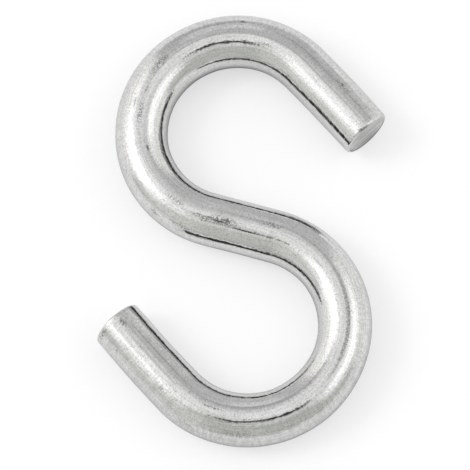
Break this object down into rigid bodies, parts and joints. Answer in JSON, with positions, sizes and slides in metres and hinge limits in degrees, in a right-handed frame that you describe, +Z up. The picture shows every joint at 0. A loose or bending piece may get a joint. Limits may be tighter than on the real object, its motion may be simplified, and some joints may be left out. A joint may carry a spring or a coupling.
{
  "type": "s hook",
  "caption": "Open S hook bent from one length of round steel wire, with a straight tip beyond each bend, for linking or hanging chain, rope, rings and goods.",
  "frame": {"origin": "under the midpoint of the neck, on the surface that the hook lies on", "axes": "+Y from the lower bend's centre to the upper bend's centre, along the hook's length; +Z up, out of the plane of the S"},
  "size_m": [0.034, 0.05, 0.006],
  "materials": {
    "steel_wire": "bright drawn wire, tumbled after bending"
  },
  "bodies": {
    "root": {"hook": "steel_wire"}
  },
  "joints": []
}
